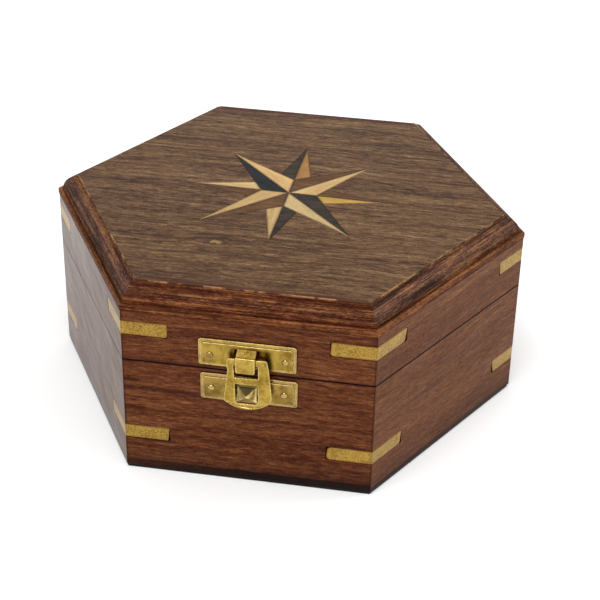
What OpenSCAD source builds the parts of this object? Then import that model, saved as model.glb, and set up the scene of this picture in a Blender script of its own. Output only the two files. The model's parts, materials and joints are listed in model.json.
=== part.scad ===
// Hexagonal hinged wooden box with an inlaid star on the lid, brass strips let in across
// the corners and a swinging brass catch at the front. Millimetres, +Z up, -Y is the front,
// the origin is at the centre of the felt's underside.

/* [Box] */
// Length of one side of the hexagon, outside the walls
side = 80; // [70:1:110]
// Height from the felt's underside to the top of the lid
total_h = 68.4; // [64:0.2:90]
// Thickness of the felt under the box
felt_t = 1.3; // [0.8:0.1:2]
// Height of the joint between base and lid
seam_z = 42.4; // [40:0.2:50]
// Gap between base and lid when closed
seam_gap = 0.3; // [0.2:0.05:0.6]
// Thickness of the walls
wall_t = 8; // [7:0.5:12]
// Thickness of the bottom board
board_t = 4; // [3:0.5:6]
// Width of the rebate that holds the bottom board
rebate_w = 4; // [2:0.5:5]

/* [Lid moulding] */
// Height of the lid's square lip above the lid walls
lip_h = 1.8; // [1:0.1:3]
// How far the lip stands out from the walls
lip_out = 0.2; // [0:0.05:0.6]
// Width of the flat ledge between lip and moulding
ledge_w = 1.5; // [0.5:0.1:3]
// Width of the rounded moulding
ovolo_w = 4.8; // [3:0.1:5.2]
// Height of the rounded moulding
ovolo_h = 5.4; // [5.2:0.1:7]
// Height of the square step above the moulding
step_h = 0.6; // [0.2:0.1:1.5]

/* [Star inlay] */
// Radius of the star's inner corners
star_inner_r = 9.5; // [6:0.1:12]
// Depth of the inlaid pieces
star_t = 1.5; // [1:0.1:3]
// Turn of the whole star on the lid
star_turn = -1.5; // [-5:0.5:5]
// Gap around the star in its pocket
star_gap = 0.05; // [0.02:0.01:0.15]

/* [Brass corner strips] */
// Height of a strip
strip_h = 4.8; // [3:0.1:6]
// Thickness of a strip
strip_t = 1.2; // [0.8:0.1:2]
// Gap around a strip in its pocket
strip_gap = 0.12; // [0.05:0.01:0.3]
// Height of the middle of the base strips
base_strip_z = 14.8; // [10:0.1:30]
// Height of the middle of the lid strips
lid_strip_z = 54.3; // [50:0.1:56]

/* [Catch] */
// Width of both catch plates
plate_w = 30.8; // [28:0.2:34]
// Height of both catch plates
plate_h = 9.6; // [9:0.1:11]
// Thickness of the plates' sheet
plate_t = 0.6; // [0.4:0.05:0.7]
// Height of the raised panel on each plate
panel_t = 0.25; // [0.1:0.05:0.3]
// Height of the middle of the lid plate
lid_plate_z = 48.9; // [48.6:0.1:49.2]
// Height of the middle of the base plate
base_plate_z = 36.2; // [35.9:0.1:36.6]
// Sideways offset of the base plate
base_plate_x = 0.5; // [-0.5:0.1:0.7]
// Distance of the hasp's pivot from the front wall
pivot_out = 2.8; // [2.75:0.05:2.95]
// Height of the hasp's pivot
pivot_z = 48.2; // [48:0.1:48.4]
// Radius of the hasp's pivot bar
pivot_r = 0.9; // [0.8:0.05:0.95]
// Thickness of the hasp's sheet
hasp_t = 0.6; // [0.5:0.05:0.7]
// Height of the hasp's lower end
hasp_low_z = 31; // [30.6:0.1:31.2]
// Angle at which the slack hasp hangs, seen from the front
hasp_turn = 1.5; // [-1.5:0.5:1.5]

/* [Hinges] */
// Distance of each hinge's middle from the middle of the box
hinge_x = 22; // [15:0.5:24]
// Length of a hinge
hinge_l = 20; // [16:0.5:22]
// Radius of the hinge knuckles
knuckle_r = 1.5; // [1.3:0.05:1.6]
// Radius of the hinge pins
hinge_pin_r = 0.7; // [0.5:0.05:0.8]
// Thickness of the hinge leaves
leaf_t = 1; // [0.8:0.05:1.2]

/* [Hidden] */
$fn = 48;
// wall numbers, counted round from the front; wall i lies between corners i - 1 and i
FRONT = 0;
FRONT_RIGHT = 1;
BACK_RIGHT = 2;
BACK = 3;
BACK_LEFT = 4;
FRONT_LEFT = 5;
// corner numbers, counted round from the front right corner
CORNER_FR = 0;
CORNER_R = 1;
CORNER_BR = 2;
CORNER_BL = 3;
CORNER_L = 4;
CORNER_FL = 5;

// distance from the middle of the box to the outside of each wall
wall_a = side * cos(30);
base_low = felt_t;
base_top = seam_z - seam_gap / 2;
lid_low = seam_z + seam_gap / 2;
ledge_z = total_h - step_h - ovolo_h;
lid_wall_top = ledge_z - lip_h;
lip_a = wall_a + lip_out;
arris_a = lip_a - ledge_w - ovolo_w;
board_a = wall_a - wall_t + rebate_w;
felt_inset = 0.5;
// circle of the moulding, upright where it meets the ledge
ovolo_r = (ovolo_w * ovolo_w + ovolo_h * ovolo_h) / (2 * ovolo_w);
eps = 0.01;

// the star's centre, and the length of each hand-cut point, counted round from the right
star_at = [0.3, 1.1];
star_tips = [33, 33.8, 34.4, 34.9, 33.4, 35.9, 33.8, 35.3];

// length of each strip's two legs, for corners counted round from the front right
lid_strip_legs = [[14.4, 15.2], [13.4, 14.6], [14.8, 14.2], [14.3, 15], [14.6, 14.1], [15, 14.7]];
base_strip_legs = [[14.8, 15.3], [12.6, 14.2], [14.1, 14.9], [15, 14.4], [14.2, 14.8], [15.2, 14.6]];

// catch: plate edges and pins; nails are [left, right], from the middle of the box
plate_corner_r = 0.8;
panel_edge = 1;
panel_corner_r = 0.6;
lid_nails = [-11.7, 11.9];
base_nails = [-11.3, 11.7];
nail_r = 0.5;
nail_l = 5;
nail_head_r = 1.1;
nail_head_h = 0.5;
hole_play = 0.02;
base_nail_z = base_plate_z - 0.25;
lid_nail_z = lid_plate_z - 0.75;
plate_front = plate_t + panel_t;
// strap that holds the hasp's bar, and the slot it was pressed out of
strap_w = 6.2;
strap_t = 0.6;
strap_out = pivot_out + pivot_r + 0.15 + strap_t;
strap_top = pivot_z + 3.5;
strap_fold = pivot_z + 1.7;
strap_low = pivot_z - 3.6;
strap_corner_r = 0.7;
slot_w = 7.8;
// hasp: hand-cut outline and holes, measured from the hasp's own middle
hasp_x = 0.5;
hasp_back = pivot_out + pivot_r + 0.05 - hasp_t;
hasp_top = pivot_z + 1.35;
bar_l = 10;
hasp_side_z = 37;
hasp_arc_r = 11;
hasp_arc_x = -0.4;
hasp_hole_x = -0.4;
hasp_slot_w = 7.5;
crossbar_low = 40.3;
crossbar_top = 42.7;
window_w = 7.2;
window_low = 33;
window_corner_r = 1.6;
// faceted boss on the base plate, behind the hasp's window
boss_w = 6.2;
boss_h = 6;
boss_z = 35;
boss_out = hasp_back - 0.2;

// hinges
hinge_y = wall_a + knuckle_r + 0.35;
leaf_inner_y = wall_a - 5.8;
knuckle_gap = 0.3;
middle_l = 7.4;
outer_l = (hinge_l - middle_l) / 2 - knuckle_gap;
pin_play = 0.05;
screw_x = 6;
screw_y = wall_a - 2.9;
screw_r = 0.7;
screw_head_r = 1.4;
screw_head_h = 0.7;
screw_l = 6;
mortise_play = 0.1;
outer_spans = [[-hinge_l / 2, -hinge_l / 2 + outer_l], [hinge_l / 2 - outer_l, hinge_l / 2]];
middle_spans = [[-middle_l / 2, middle_l / 2]];

// ---------- walls ----------

// hexagonal prism with flat sides at the front and back
module hexagon(apothem, low, high) {
  translate([0, 0, low]) cylinder(r = apothem / cos(30), h = high - low, $fn = 6);
}

// one mitred wall, turned to its place
module mitred_wall(wall, low, high) {
  inner_a = wall_a - wall_t;
  rotate([0, 0, 60 * wall])
    translate([0, 0, low])
      linear_extrude(high - low)
        polygon([
          [-wall_a * tan(30), -wall_a],
          [wall_a * tan(30), -wall_a],
          [inner_a * tan(30), -inner_a],
          [-inner_a * tan(30), -inner_a]
        ]);
}

// pockets for the strips at the two ends of a wall
module strip_pockets(wall, legs, middle_z) {
  high = strip_h + 2 * strip_gap;
  right_leg = legs[wall][0] + strip_gap;
  left_leg = legs[(wall + 5) % 6][1] + strip_gap;
  rotate([0, 0, 60 * wall])
    for (end = [[-side, -side / 2 + left_leg], [side / 2 - right_leg, side]])
      translate([end[0], -wall_a - 1, middle_z - high / 2])
        cube([end[1] - end[0], strip_t + 1, high]);
}

// rebate for the bottom board, along the wall's inner lower edge
module board_rebate(wall) {
  rotate([0, 0, 60 * wall])
    translate([-side, -board_a, base_low - 1]) cube([2 * side, side, board_t + 1]);
}

module base_wall(wall) {
  color("#6a3a22") difference() {
    mitred_wall(wall, base_low, base_top);
    board_rebate(wall);
    strip_pockets(wall, base_strip_legs, base_strip_z);
    if (wall == FRONT) nail_holes(base_nails, base_nail_z);
    if (wall == BACK) hinge_cuts(base_top, -1);
  }
}

module lid_wall(wall) {
  color("#74432a") difference() {
    mitred_wall(wall, lid_low, lid_wall_top);
    strip_pockets(wall, lid_strip_legs, lid_strip_z);
    if (wall == FRONT) nail_holes(lid_nails, lid_nail_z);
    if (wall == BACK) hinge_cuts(lid_low, 1);
  }
}

module bottom_board() {
  color("#7a4a30") hexagon(board_a, base_low, base_low + board_t);
}

module base_felt() {
  color("#1c1a1a") hexagon(wall_a - felt_inset, 0, felt_t);
}

// ---------- lid top and star ----------

// cross-section of the lid's top, from flat side to flat side
module top_section() {
  translate([-lip_a, lid_wall_top]) square([2 * lip_a, lip_h]);
  translate([-arris_a, lid_wall_top]) square([2 * arris_a, total_h - lid_wall_top]);
  for (way = [-1, 1])
    intersection() {
      translate([way * (lip_a - ledge_w - ovolo_r), ledge_z]) circle(r = ovolo_r);
      translate([-lip_a, ledge_z]) square([2 * lip_a, ovolo_h]);
    }
}

// the moulding runs along all six edges and mitres at the corners
module moulded_panel() {
  intersection_for(turn = [30, 90, 150])
    rotate([0, 0, turn])
      rotate([90, 0, 0])
        linear_extrude(4 * side, center = true) top_section();
}

module lid_top() {
  color("#5d3a24") difference() {
    moulded_panel();
    on_lid_top() linear_extrude(star_t + 1) polygon(grown(star_outline, star_gap));
  }
}

// the plane of the star's underside
module on_lid_top() {
  translate([star_at[0], star_at[1], total_h - star_t]) rotate([0, 0, star_turn]) children();
}

function polar(radius, angle) = [radius * cos(angle), radius * sin(angle)];
function cross2(a, b) = a[0] * b[1] - a[1] * b[0];
// where the line from a to b meets the line from c to d
function meet(a, b, c, d) = a + (b - a) * cross2(c - a, d - c) / cross2(b - a, d - c);

// point k of the star; the diagonal points (odd k) lie over the upright ones (even k)
function tip(k) = polar(star_tips[(k + 8) % 8], 45 * k);
function inner(k) = polar(star_inner_r, 45 * k);
// where the edge of upright point k goes under diagonal point k + way
function crossing(k, way) = meet(tip(k), inner(k + way), tip(k + way), inner(k));

// half of point k; way is 1 for the anticlockwise half and -1 for the clockwise one
function half_point(k, way) =
  k % 2 == 1 ? [[0, 0], tip(k), inner(k + way)] : [inner(k), tip(k), crossing(k, way)];

// the whole star, anticlockwise: each point's tip and the corner after it
star_outline = [for (k = [0:7]) each [tip(k), k % 2 == 1 ? crossing(k + 1, -1) : crossing(k, 1)]];

// how far the edge from a to b moves when an anticlockwise outline grows
function outward(a, b, gap) = gap * [b[1] - a[1], a[0] - b[0]] / norm(b - a);
// an anticlockwise outline with every edge moved out by the gap
function grown(points, gap) = [
  for (i = [0:len(points) - 1])
    let (
      here = points[i],
      before = points[(i + len(points) - 1) % len(points)],
      after = points[(i + 1) % len(points)],
      first = outward(before, here, gap),
      second = outward(here, after, gap)
    )
      meet(before + first, here + first, here + second, after + second)
];

module star_piece(k, way, tint) {
  color(tint) on_lid_top() linear_extrude(star_t) polygon(half_point(k, way));
}

module star_light(k) {
  star_piece(k, -1, k == 2 ? "#c09264" : "#d8ae78");
}

module star_dark(k) {
  black = k == 2 || k == 3 || k == 6 || k == 7;
  star_piece(k, 1, black ? "#211a16" : "#5a2b1e");
}

// ---------- brass corner strips ----------

// a point of a strip, a leg's length from a corner at angle 0 and a depth into the wall
function strip_point(leg, depth, way) =
  [side - leg * sin(30) - depth * cos(30), way * (leg * cos(30) - depth * sin(30))];

// strip bent round one corner
module corner_strip(corner, legs, middle_z) {
  rotate([0, 0, 60 * corner - 60])
    translate([0, 0, middle_z - strip_h / 2])
      linear_extrude(strip_h)
        polygon([
          [side, 0],
          strip_point(legs[1], 0, 1),
          strip_point(legs[1], strip_t, 1),
          [side - strip_t / cos(30), 0],
          strip_point(legs[0], strip_t, -1),
          strip_point(legs[0], 0, -1)
        ]);
}

module base_strip(corner) {
  color("#b8953f") corner_strip(corner, base_strip_legs[corner], base_strip_z);
}

module lid_strip(corner) {
  color("#b8953f") corner_strip(corner, lid_strip_legs[corner], lid_strip_z);
}

// ---------- catch ----------

// places things on the front wall: x along it, y out of it, z up
module on_front() {
  translate([0, -wall_a, 0]) mirror([0, 1, 0]) children();
}

// box from the front wall outwards, centred on x and z
module front_block(x, z, w, h, from_y, to_y) {
  translate([x - w / 2, from_y, z - h / 2]) cube([w, to_y - from_y, h]);
}

// cylinder that runs out of the front wall
module front_rod(x, z, r, from_y, to_y) {
  translate([x, from_y, z]) rotate([-90, 0, 0]) cylinder(r = r, h = to_y - from_y);
}

// flat sheet that fills from_y to_y out of the front wall, cut to a 2D outline
module front_sheet(from_y, to_y) {
  translate([0, to_y, 0]) rotate([90, 0, 0]) linear_extrude(to_y - from_y) children();
}

// rectangle with round corners, centred on the origin
module round_rect(w, h, r) {
  square([w - 2 * r, h], center = true);
  square([w, h - 2 * r], center = true);
  for (x = [-1, 1], y = [-1, 1]) translate([x * (w / 2 - r), y * (h / 2 - r)]) circle(r = r);
}

// pilot holes in the front wall for a plate's two nails
module nail_holes(nails, z) {
  on_front() for (x = nails) front_rod(x, z, nail_r + hole_play, plate_front - nail_l - 0.2, 1);
}

// pressed plate with a raised panel and two nail holes
module catch_plate(x, z, nails, nail_z) {
  panel_w = plate_w - 2 * panel_edge;
  panel_h = plate_h - 2 * panel_edge;
  difference() {
    union() {
      front_sheet(0, plate_t) translate([x, z]) round_rect(plate_w, plate_h, plate_corner_r);
      front_sheet(plate_t - eps, plate_front)
        translate([x, z]) round_rect(panel_w, panel_h, panel_corner_r);
    }
    for (nail = nails) front_rod(nail, nail_z, nail_r + hole_play, -1, 2);
  }
}

// the strap's outline from the front, with round lower corners
module strap_outline() {
  translate([0, (strap_low + strap_top) / 2 + strap_corner_r])
    square([strap_w, strap_top - strap_low], center = true);
  translate([0, strap_low + 2 * strap_corner_r])
    round_rect(strap_w, 4 * strap_corner_r, strap_corner_r);
}

// strap pressed out of the lid plate round the hasp's bar, closed at top and bottom
module strap() {
  back = plate_t - 0.3;
  inside_out = strap_out - strap_t;
  intersection() {
    front_sheet(0, 2 * strap_out) strap_outline();
    translate([-strap_w, 0, 0])
      rotate([90, 0, 90])
        linear_extrude(2 * strap_w)
          difference() {
            polygon([
              [back, strap_top],
              [plate_t, strap_top],
              [strap_out - 0.1, strap_fold + 0.1],
              [strap_out, strap_fold - 0.1],
              [strap_out, strap_low + 0.3],
              [strap_out - 0.3, strap_low],
              [back, strap_low]
            ]);
            polygon([
              [0, strap_top - strap_t * 1.2],
              [plate_t, strap_top - strap_t * 1.2],
              [inside_out, strap_fold - 0.3],
              [inside_out, strap_low + strap_t],
              [0, strap_low + strap_t]
            ]);
          }
  }
}

module catch_lid_plate() {
  slot_low = strap_low + strap_t;
  slot_high = strap_top - strap_t;
  color("#b3924a") on_front() {
    difference() {
      catch_plate(0, lid_plate_z, lid_nails, lid_nail_z);
      front_block(0, (slot_low + slot_high) / 2, slot_w, slot_high - slot_low, -1, 2);
    }
    strap();
  }
}

// four-sided boss, square to the plate, running up to a point
module boss() {
  intersection() {
    translate([-boss_w, 0, boss_z])
      rotate([90, 0, 90])
        linear_extrude(2 * boss_w)
          polygon([[plate_t, -boss_h / 2], [boss_out, 0], [plate_t, boss_h / 2]]);
    translate([0, 0, boss_z - boss_h])
      linear_extrude(2 * boss_h)
        polygon([[-boss_w / 2, plate_t], [0, boss_out], [boss_w / 2, plate_t]]);
  }
}

module catch_base_plate() {
  color("#a98a45") on_front() {
    catch_plate(base_plate_x, base_plate_z, base_nails, base_nail_z);
    boss();
  }
}

// outline of the hasp's sheet, with x across and y up: two ears on the bar, legs that
// spread downwards and a round lower end
module hasp_outline() {
  intersection() {
    polygon([
      [-5.9, hasp_top],
      [-6.5, hasp_top - 0.7],
      [-6.5, pivot_z - 1.8],
      [-6.2, pivot_z - 2.7],
      [-7.7, hasp_side_z - 2],
      [-7.7, hasp_low_z],
      [7.5, hasp_low_z],
      [7.5, hasp_side_z],
      [6.9, pivot_z - 2.7],
      [6.4, hasp_top - 0.5],
      [6.1, hasp_top]
    ]);
    union() {
      translate([hasp_arc_x, hasp_low_z + hasp_arc_r]) circle(r = hasp_arc_r, $fn = 96);
      translate([-side, hasp_low_z + hasp_arc_r / 2]) square([2 * side, side]);
    }
  }
}

// window that the boss shows through, with round lower corners
module hasp_window() {
  window_h = crossbar_low - window_low;
  translate([0, window_low + window_h / 2]) round_rect(window_w, window_h, window_corner_r);
  translate([-window_w / 2, window_low + window_h / 2]) square([window_w, window_h / 2]);
}

module catch_hasp() {
  color("#c2a055") on_front() translate([hasp_x, 0, pivot_z]) {
    rotate([0, -hasp_turn, 0])
      front_sheet(hasp_back, hasp_back + hasp_t)
        translate([0, -pivot_z])
          difference() {
            hasp_outline();
            translate([hasp_hole_x, 0]) hasp_window();
            translate([hasp_hole_x - hasp_slot_w / 2, crossbar_top]) square([hasp_slot_w, side]);
          }
    translate([-bar_l / 2, pivot_out, 0]) rotate([0, 90, 0]) cylinder(r = pivot_r, h = bar_l);
  }
}

// domed nail driven into the front wall through a plate
module nail(x, z) {
  dome_r = (nail_head_r * nail_head_r + nail_head_h * nail_head_h) / (2 * nail_head_h);
  front_rod(x, z, nail_r, plate_front - nail_l, plate_front + eps);
  intersection() {
    translate([x, plate_front + nail_head_h - dome_r, z]) sphere(r = dome_r);
    front_rod(x, z, nail_head_r, plate_front, plate_front + 1);
  }
}

module catch_lid_nails() {
  color("#cdb36a") on_front() for (x = lid_nails) nail(x, lid_nail_z);
}

module catch_base_nails() {
  color("#cdb36a") on_front() for (x = base_nails) nail(x, base_nail_z);
}

// ---------- hinges at the back ----------

// mortises and pilot holes in the edge of a back wall; way is 1 for the lid, -1 for the base
module hinge_cuts(edge_z, way) {
  for (x = [-hinge_x, hinge_x]) {
    translate([x - hinge_l / 2 - mortise_play, leaf_inner_y - mortise_play, edge_z - (way > 0 ? 1 : leaf_t)])
      cube([hinge_l + 2 * mortise_play, side, leaf_t + 1]);
    for (side_way = [-1, 1])
      translate([x + side_way * screw_x, screw_y, edge_z - (way > 0 ? 0 : screw_l + 0.2)])
        cylinder(r = screw_r + hole_play, h = screw_l + 0.2);
  }
}

// a leaf let into the edge of the wall, with its own knuckles; spans are [from, to] along x
module hinge_leaf(x, edge_z, way, spans) {
  low = way > 0 ? edge_z : edge_z - leaf_t;
  difference() {
    union() {
      translate([x - hinge_l / 2, leaf_inner_y, low]) cube([hinge_l, wall_a - leaf_inner_y, leaf_t]);
      for (span = spans) {
        translate([x + span[0], wall_a - eps, low]) cube([span[1] - span[0], hinge_y - wall_a, leaf_t]);
        translate([x + span[0], hinge_y, seam_z])
          rotate([0, 90, 0]) cylinder(r = knuckle_r, h = span[1] - span[0]);
      }
    }
    translate([x - hinge_l, hinge_y, seam_z])
      rotate([0, 90, 0]) cylinder(r = hinge_pin_r + pin_play, h = 2 * hinge_l);
    for (side_way = [-1, 1])
      translate([x + side_way * screw_x, screw_y, edge_z])
        mirror([0, 0, way > 0 ? 1 : 0])
          screw_shape(hole_play, 0);
  }
}

// countersunk screw below the plane z = 0; slot is the depth of its slot
module screw_shape(play, slot) {
  difference() {
    union() {
      translate([0, 0, -screw_l]) cylinder(r = screw_r + play, h = screw_l);
      translate([0, 0, -screw_head_h])
        cylinder(r1 = screw_r + play, r2 = screw_head_r + play, h = screw_head_h);
      if (play > 0) cylinder(r = screw_head_r + play, h = 1);
    }
    if (slot > 0) translate([-screw_head_r, -0.15, -slot]) cube([2 * screw_head_r, 0.3, 1]);
  }
}

module base_leaf(x) {
  color("#b08f48") hinge_leaf(x, base_top, -1, outer_spans);
}

module lid_leaf(x) {
  color("#b08f48") hinge_leaf(x, lid_low, 1, middle_spans);
}

module hinge_pin(x) {
  color("#c9ac62")
    translate([x - hinge_l / 2, hinge_y, seam_z])
      rotate([0, 90, 0]) cylinder(r = hinge_pin_r, h = hinge_l);
}

module hinge_base_screws() {
  color("#a88a4a")
    for (x = [-hinge_x, hinge_x], side_way = [-1, 1])
      translate([x + side_way * screw_x, screw_y, base_top]) screw_shape(0, 0.35);
}

module hinge_lid_screws() {
  color("#a88a4a")
    for (x = [-hinge_x, hinge_x], side_way = [-1, 1])
      translate([x + side_way * screw_x, screw_y, lid_low]) mirror([0, 0, 1]) screw_shape(0, 0.35);
}

base_wall(FRONT);  // base_front_wall
base_wall(FRONT_RIGHT);  // base_front_right_wall
base_wall(BACK_RIGHT);  // base_back_right_wall
base_wall(BACK);  // base_back_wall
base_wall(BACK_LEFT);  // base_back_left_wall
base_wall(FRONT_LEFT);  // base_front_left_wall
bottom_board();
base_felt();
lid_wall(FRONT);  // lid_front_wall
lid_wall(FRONT_RIGHT);  // lid_front_right_wall
lid_wall(BACK_RIGHT);  // lid_back_right_wall
lid_wall(BACK);  // lid_back_wall
lid_wall(BACK_LEFT);  // lid_back_left_wall
lid_wall(FRONT_LEFT);  // lid_front_left_wall
lid_top();
star_light(0);  // star_east_light
star_dark(0);  // star_east_dark
star_light(1);  // star_northeast_light
star_dark(1);  // star_northeast_dark
star_light(2);  // star_north_light
star_dark(2);  // star_north_dark
star_light(3);  // star_northwest_light
star_dark(3);  // star_northwest_dark
star_light(4);  // star_west_light
star_dark(4);  // star_west_dark
star_light(5);  // star_southwest_light
star_dark(5);  // star_southwest_dark
star_light(6);  // star_south_light
star_dark(6);  // star_south_dark
star_light(7);  // star_southeast_light
star_dark(7);  // star_southeast_dark
base_strip(CORNER_FR);  // base_strip_front_right
base_strip(CORNER_R);  // base_strip_right
base_strip(CORNER_BR);  // base_strip_back_right
base_strip(CORNER_BL);  // base_strip_back_left
base_strip(CORNER_L);  // base_strip_left
base_strip(CORNER_FL);  // base_strip_front_left
lid_strip(CORNER_FR);  // lid_strip_front_right
lid_strip(CORNER_R);  // lid_strip_right
lid_strip(CORNER_BR);  // lid_strip_back_right
lid_strip(CORNER_BL);  // lid_strip_back_left
lid_strip(CORNER_L);  // lid_strip_left
lid_strip(CORNER_FL);  // lid_strip_front_left
catch_lid_plate();
catch_base_plate();
catch_hasp();
catch_lid_nails();
catch_base_nails();
base_leaf(-hinge_x);  // hinge_left_base_leaf
lid_leaf(-hinge_x);  // hinge_left_lid_leaf
hinge_pin(-hinge_x);  // hinge_left_pin
base_leaf(hinge_x);  // hinge_right_base_leaf
lid_leaf(hinge_x);  // hinge_right_lid_leaf
hinge_pin(hinge_x);  // hinge_right_pin
hinge_base_screws();
hinge_lid_screws();
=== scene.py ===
# Looks of the inlaid hexagonal box: materials, hand-finished edges, brass, light and camera.
import json
import math
import random

import bmesh
import bpy
from mathutils import Matrix, Vector


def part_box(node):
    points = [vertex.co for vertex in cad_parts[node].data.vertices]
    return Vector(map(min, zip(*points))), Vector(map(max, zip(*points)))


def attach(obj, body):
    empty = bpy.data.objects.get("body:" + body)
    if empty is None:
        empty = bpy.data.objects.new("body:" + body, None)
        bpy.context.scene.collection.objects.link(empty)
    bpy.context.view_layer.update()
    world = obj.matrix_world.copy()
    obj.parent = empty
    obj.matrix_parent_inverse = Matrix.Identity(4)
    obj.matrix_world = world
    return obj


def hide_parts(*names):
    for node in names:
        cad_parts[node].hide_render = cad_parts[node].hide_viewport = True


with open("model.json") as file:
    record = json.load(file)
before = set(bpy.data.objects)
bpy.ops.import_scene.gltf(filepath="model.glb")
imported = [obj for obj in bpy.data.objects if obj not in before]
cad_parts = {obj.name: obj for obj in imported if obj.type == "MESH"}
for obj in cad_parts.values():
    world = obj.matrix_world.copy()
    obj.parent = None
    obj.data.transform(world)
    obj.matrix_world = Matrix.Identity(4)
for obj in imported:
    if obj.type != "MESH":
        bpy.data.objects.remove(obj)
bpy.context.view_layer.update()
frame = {"nodes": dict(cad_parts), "record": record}

NODES = frame["nodes"]
MM = 0.001
# millimetres
WALL_OUT = -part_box("lid_front_wall")[0].y / MM      # middle of the box to a wall's face
HALF_WALL = 40.0                                    # half of a wall's length
TOP_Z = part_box("lid_top")[1].z / MM                 # the lid's flat top
FELT_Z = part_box("base_felt")[1].z / MM              # the walls' foot, on the felt
ARRIS = max(-v.co.y for v in NODES["lid_top"].data.vertices if v.co.z > (TOP_Z - 0.01) * MM) / MM
MOULDING_RUN = 14.2                                 # down the moulded edge, from arris to foot


# ---------- node graph helper ----------

class Graph:
    """Builds a material's nodes; the methods return output sockets."""

    def __init__(self, name):
        self.mat = bpy.data.materials.new(name)
        self.mat.use_nodes = True
        self.tree = self.mat.node_tree
        self.tree.nodes.clear()

    def add(self, kind, **settings):
        node = self.tree.nodes.new(kind)
        for key, value in settings.items():
            setattr(node, key, value)
        return node

    def put(self, socket, value):
        """Links an output to a socket, or sets the socket to a constant."""
        if isinstance(value, bpy.types.NodeSocket):
            self.tree.links.new(value, socket)
        elif value is not None:
            socket.default_value = value

    def place(self, turn=0.0):
        """Position in the box's frame, in metres, turned about Z by -turn degrees."""
        spot = self.add("ShaderNodeTexCoord").outputs["Object"]
        if turn == 0:
            return spot
        turned = self.add("ShaderNodeMapping")
        self.put(turned.inputs["Vector"], spot)
        turned.inputs["Rotation"].default_value = (0, 0, math.radians(-turn))
        return turned.outputs["Vector"]

    def scaled(self, vector, scale, shift=(0, 0, 0)):
        node = self.add("ShaderNodeMapping")
        self.put(node.inputs["Vector"], vector)
        node.inputs["Scale"].default_value = scale
        node.inputs["Location"].default_value = shift
        return node.outputs["Vector"]

    def noise(self, vector, scale, shift=(0, 0, 0), detail=2.0, roughness=0.5):
        """Noise with `scale` cells per metre along each axis."""
        node = self.add("ShaderNodeTexNoise")
        self.put(node.inputs["Vector"], self.scaled(vector, scale, shift))
        node.inputs["Scale"].default_value = 1.0
        node.inputs["Detail"].default_value = detail
        node.inputs["Roughness"].default_value = roughness
        return node.outputs["Fac"]

    def cells(self, vector, scale, shift=(0, 0, 0)):
        """Distance to the nearest of scattered points, `scale` points per metre."""
        node = self.add("ShaderNodeTexVoronoi")
        self.put(node.inputs["Vector"], self.scaled(vector, scale, shift))
        node.inputs["Scale"].default_value = 1.0
        return node.outputs["Distance"]

    def math(self, operation, a, b=None, c=None):
        node = self.add("ShaderNodeMath", operation=operation)
        self.put(node.inputs[0], a)
        self.put(node.inputs[1], b)
        self.put(node.inputs[2], c)
        return node.outputs[0]

    def spread(self, value, low, high, to_low=0.0, to_high=1.0):
        """Maps low..high smoothly to to_low..to_high, clamped."""
        node = self.add("ShaderNodeMapRange", clamp=True, interpolation_type="SMOOTHSTEP")
        self.put(node.inputs["Value"], value)
        node.inputs["From Min"].default_value = low
        node.inputs["From Max"].default_value = high
        node.inputs["To Min"].default_value = to_low
        node.inputs["To Max"].default_value = to_high
        return node.outputs["Result"]

    def ramp(self, value, stops):
        node = self.add("ShaderNodeValToRGB")
        self.put(node.inputs["Fac"], value)
        elements = node.color_ramp.elements
        while len(elements) < len(stops):
            elements.new(0.5)
        for element, (at, colour) in zip(elements, stops):
            element.position = at
            element.color = (*colour, 1)
        return node.outputs["Color"]

    def mix(self, factor, a, b):
        """From colour a at factor 0 to colour b at 1."""
        node = self.add("ShaderNodeMix", data_type="RGBA")
        self.put(node.inputs["Factor"], factor)
        colour_sockets = node.inputs[6:8]
        for socket, value in zip(colour_sockets, (a, b)):
            self.put(socket, (*value, 1) if isinstance(value, tuple) else value)
        return node.outputs[2]

    def brighter(self, colour, factor):
        """The colour times a number, which may be over 1."""
        node = self.add("ShaderNodeVectorMath", operation="SCALE")
        self.put(node.inputs[0], colour)
        self.put(node.inputs["Scale"], factor)
        return node.outputs[0]

    def split(self, vector):
        node = self.add("ShaderNodeSeparateXYZ")
        self.put(node.inputs[0], vector)
        return node.outputs[0], node.outputs[1], node.outputs[2]

    def join(self, x, y, z):
        node = self.add("ShaderNodeCombineXYZ")
        for socket, value in zip(node.inputs, (x, y, z)):
            self.put(socket, value)
        return node.outputs[0]

    def recess(self, reach):
        """1 on open faces, towards 0 in corners narrower than `reach` metres."""
        node = self.add("ShaderNodeAmbientOcclusion", samples=12)
        node.inputs["Distance"].default_value = reach
        return node.outputs["AO"]

    def edge(self, reach):
        """0 on flat faces, rising to 1 within `reach` metres of an edge."""
        rounded_off = self.add("ShaderNodeBevel", samples=6)
        rounded_off.inputs["Radius"].default_value = reach
        facing = self.add("ShaderNodeVectorMath", operation="DOT_PRODUCT")
        self.put(facing.inputs[0], rounded_off.outputs["Normal"])
        self.put(facing.inputs[1], self.add("ShaderNodeNewGeometry").outputs["Normal"])
        return self.spread(facing.outputs["Value"], 0.90, 0.999, 1.0, 0.0)

    def bump(self, height, depth):
        """A normal for relief of `depth` metres per unit of height."""
        node = self.add("ShaderNodeBump")
        self.put(node.inputs["Height"], height)
        node.inputs["Strength"].default_value = 1.0
        node.inputs["Distance"].default_value = depth
        return node.outputs["Normal"]

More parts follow.
